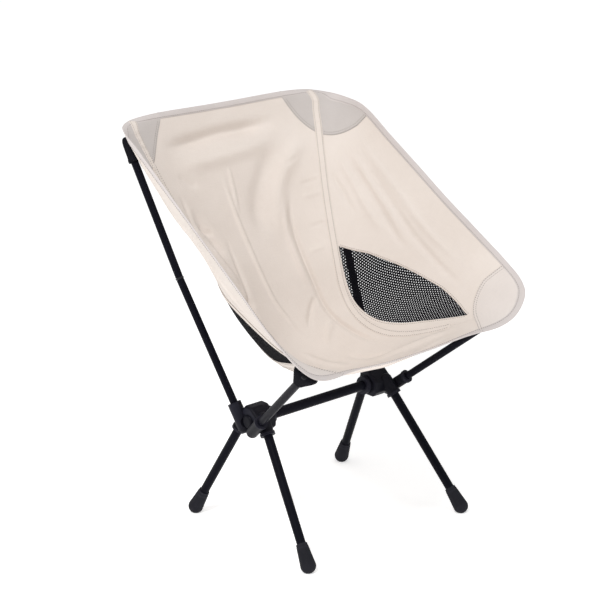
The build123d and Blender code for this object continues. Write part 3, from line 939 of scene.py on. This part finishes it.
# A pocket's rings, from its mouth: share of the length, half width, half thickness, shift
BACK_RINGS = ((0.0, 8.2, 8.2, 0), (0.02, 8.6, 8.6, 0), (0.14, 8.6, 8.6, 0), (0.17, 7.7, 7.7, 0),
              (0.3, 7.6, 7.6, 0), (0.6, 7.6, 7.6, 0), (0.85, 7.8, 7.3, 0.5), (0.95, 7.8, 5.6, 1.6),
              (1.0, 7.4, 3.2, 2.8))
FRONT_RINGS = ((0.0, 8.6, 8.4, 0), (0.04, 9.6, 9.0, 0), (0.14, 10.6, 9.0, 0), (0.2, 11.6, 8.4, 0),
               (0.45, 15.5, 8.0, 0.4), (0.75, 19.5, 7.6, 0.8), (0.93, 21.0, 6.2, 1.6),
               (1.0, 21.0, 3.0, 3.2))
for side, sign in SIDES.items():
    facing = sling_normal(np.array([0.95 * sign]), np.array([0.03]))[0]
    back = pocket(f"{side}_back_pocket_cloth", f"{side}_back_pole_tip", BACK_POCKET, BACK_RINGS, facing)
    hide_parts(f"{side}_back_pocket")
    pocket_web(side, sign, BACK_POCKET)
    facing = sling_normal(np.array([0.85 * sign]), np.array([0.94]))[0]
    name = f"{side}_front_pocket_cloth"
    front = pocket(name, f"{side}_front_arm_tip", FRONT_POCKET, FRONT_RINGS, facing)
    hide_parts(f"{side}_front_pocket")


# ------------------------------------------------------------------ the frame's finishes
HUB_PLASTIC = moulded_material(
    "hub_plastic", srgb(15, 15, 21), srgb(23, 23, 30), 0.46, 1500.0, 0.3, specular=0.08
)
TIP_PLASTIC = moulded_material(
    "tip_plastic", srgb(16, 16, 19), srgb(22, 22, 26), 0.45, 1200.0, 0.25, specular=0.12
)
RUBBER = moulded_material(
    "foot_rubber", srgb(26, 26, 31), srgb(36, 36, 42), 0.7, 700.0, 0.5, specular=0.1
)
ALLOY = alloy_material()
CORD = cord_material()
TUBES = ("leg", "arm", "pole", "crossbar")
for name, node in frame["nodes"].items():
    if name.endswith("cord"):
        finish = CORD
    elif "spigot" in name:
        finish = ALLOY
    elif "foot" in name:
        finish = RUBBER
    elif name.endswith("tip"):
        finish = TIP_PLASTIC
    elif "hub" in name:
        finish = HUB_PLASTIC
    elif name.endswith(TUBES):
        finish = tube_material(f"{name}_anodised", axis_of(name)[2])
    else:
        continue
    for slot in node.material_slots:
        slot.material = finish
    if not node.material_slots:
        node.data.materials.append(finish)


# ------------------------------------------------------------------ floor, light and camera
FLOOR_HALF, FLOOR_GLOW = 60.0, 0.45  # metres, and emission that keeps the floor white


def floor():
    half = FLOOR_HALF
    mesh = bpy.data.meshes.new("floor")
    corners = [(-half, -half, 0), (half, -half, 0), (half, half, 0), (-half, half, 0)]
    mesh.from_pydata(corners, [], [(0, 1, 2, 3)])
    made = bpy.data.objects.new("floor", mesh)
    bpy.context.scene.collection.objects.link(made)
    m = Material("floor_pale", roughness=0.9, specular=0.05)
    m.colour(m.mix(m.noise(m.place(), 3.0), srgb(250, 250, 250), srgb(252, 252, 252)))
    m.shader.inputs["Emission Color"].default_value = (1, 1, 1, 1)
    m.shader.inputs["Emission Strength"].default_value = FLOOR_GLOW
    mesh.materials.append(m.made)


LIGHT_AIM = Vector((0, 0, 0.45))
WORLD_LIGHT = 0.58


def area_light(name, place, size, power):
    data = bpy.data.lights.new(name, "AREA")
    data.shape = "DISK"
    data.size = size
    data.energy = power
    made = bpy.data.objects.new(name, data)
    made.location = place
    made.rotation_euler = (LIGHT_AIM - Vector(place)).to_track_quat("-Z", "Y").to_euler()
    bpy.context.scene.collection.objects.link(made)


def world(strength):
    """Soft white light from all round, behind it a white studio wall."""
    made = bpy.data.worlds.new("studio")
    made.use_nodes = True
    nodes, links = made.node_tree.nodes, made.node_tree.links
    light = nodes["Background"]
    light.inputs["Color"].default_value = (1, 1, 1, 1)
    light.inputs["Strength"].default_value = strength
    wall = nodes.new("ShaderNodeBackground")
    wall.inputs["Color"].default_value = (1, 1, 1, 1)
    seen = nodes.new("ShaderNodeLightPath")
    either = nodes.new("ShaderNodeMixShader")
    links.new(seen.outputs["Is Camera Ray"], either.inputs[0])
    links.new(light.outputs[0], either.inputs[1])
    links.new(wall.outputs[0], either.inputs[2])
    links.new(either.outputs[0], nodes["World Output"].inputs["Surface"])
    bpy.context.scene.world = made


floor()
world(WORLD_LIGHT)
area_light("key", (-2.2, -0.8, 3.1), size=0.8, power=66)
area_light("fill", (1.4, -3.0, 1.6), size=1.4, power=11)

AZIMUTH, ELEVATION, DISTANCE, LENS = math.radians(-40.936), math.radians(18.143), 2.9762, 108.36
AIM = Vector((-0.0171, 0.0162, 0.3698))
level = math.cos(ELEVATION)
back = Vector((math.sin(AZIMUTH) * level, -math.cos(AZIMUTH) * level, math.sin(ELEVATION)))
camera_data = bpy.data.cameras.new("camera")
camera_data.lens = LENS
camera_data.sensor_width = 36
camera = bpy.data.objects.new("camera", camera_data)
camera.location = AIM + back * DISTANCE
camera.rotation_euler = (-back).to_track_quat("-Z", "Y").to_euler()
bpy.context.scene.collection.objects.link(camera)
bpy.context.scene.camera = camera
bpy.context.scene.view_settings.view_transform = "Standard"
